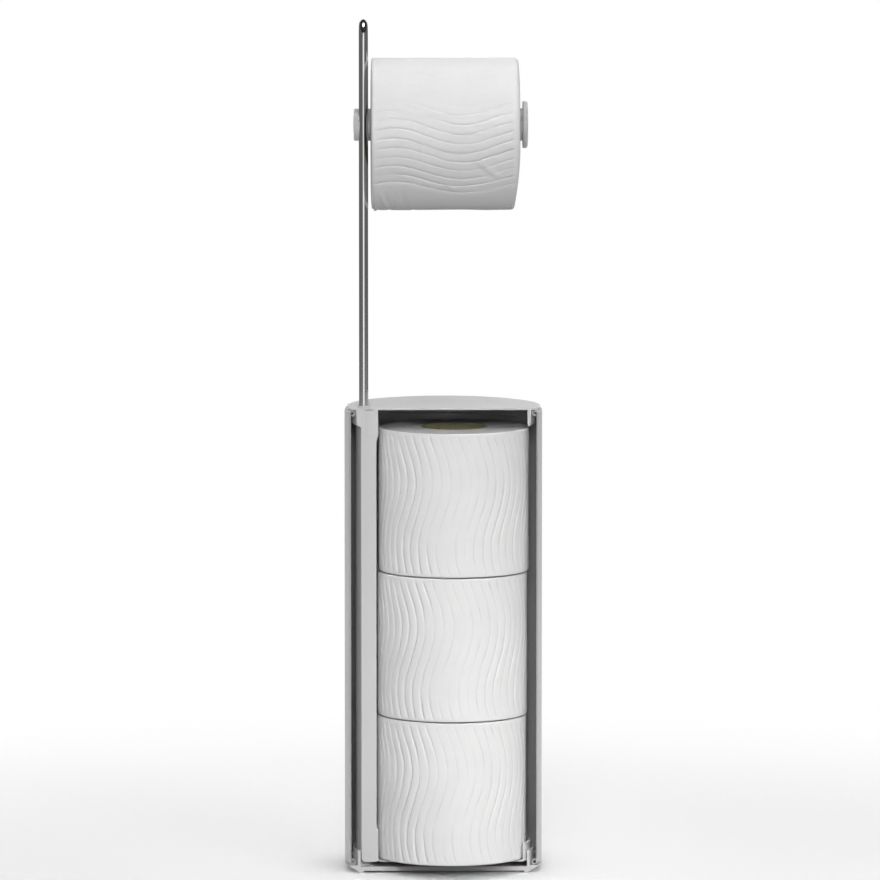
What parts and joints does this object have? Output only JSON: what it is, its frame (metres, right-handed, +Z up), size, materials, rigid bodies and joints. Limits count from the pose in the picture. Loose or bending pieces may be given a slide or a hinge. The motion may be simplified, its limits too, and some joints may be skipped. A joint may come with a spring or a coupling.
{
  "type": "toilet roll storage holder",
  "caption": "Free-standing toilet roll holder: an open round steel casing stores spare rolls upright, and a bent wire pole carries the roll in use.",
  "frame": {"origin": "on the floor, on the axis of the round casing", "axes": "+Z up; -Y towards the open front; the pole stands at -X, so the spindle points along +X"},
  "size_m": [0.1368, 0.1204, 0.591],
  "materials": {
    "shell_steel": "satin",
    "moulded_plastic": "satin",
    "gloss_plastic": "gloss",
    "chromed_wire": "polished",
    "zinc_steel": "satin",
    "tissue": "matte",
    "core_card": "matte"
  },
  "bodies": {
    "holder": {"casing_shell": "shell_steel", "top_cap": "moulded_plastic", "roll_cradle": "moulded_plastic", "base": "moulded_plastic", "hairpin_pole": "chromed_wire", "pole_screws": "zinc_steel", "pole_washers": "zinc_steel", "clamp_outer": "gloss_plastic", "clamp_inner": "gloss_plastic", "clamp_cover": "gloss_plastic", "spindle_barrel": "gloss_plastic", "end_disc": "gloss_plastic", "spindle_bolt": "zinc_steel", "bolt_washer": "zinc_steel", "disc_nut": "zinc_steel"},
    "used_roll": {"used_paper": "tissue", "used_core": "core_card"},
    "bottom_roll": {"bottom_paper": "tissue", "bottom_core": "core_card"},
    "middle_roll": {"middle_paper": "tissue", "middle_core": "core_card"},
    "top_roll": {"top_paper": "tissue", "top_core": "core_card"}
  },
  "joints": [
    {"name": "roll_spin", "type": "hinge", "parent": "holder", "child": "used_roll", "pos_m": [0.0011, 0, 0.5118], "axis": [1, 0, 0], "continuous": true},
    {"name": "bottom_lift", "type": "slide", "parent": "holder", "child": "bottom_roll", "axis": [0, 0, 1], "range_m": [0, 0.0128]},
    {"name": "middle_out", "type": "slide", "parent": "bottom_roll", "child": "middle_roll", "axis": [0, -1, 0], "range_m": [0, 0.13]},
    {"name": "top_out", "type": "slide", "parent": "middle_roll", "child": "top_roll", "axis": [0, -1, 0], "range_m": [0, 0.13]}
  ]
}
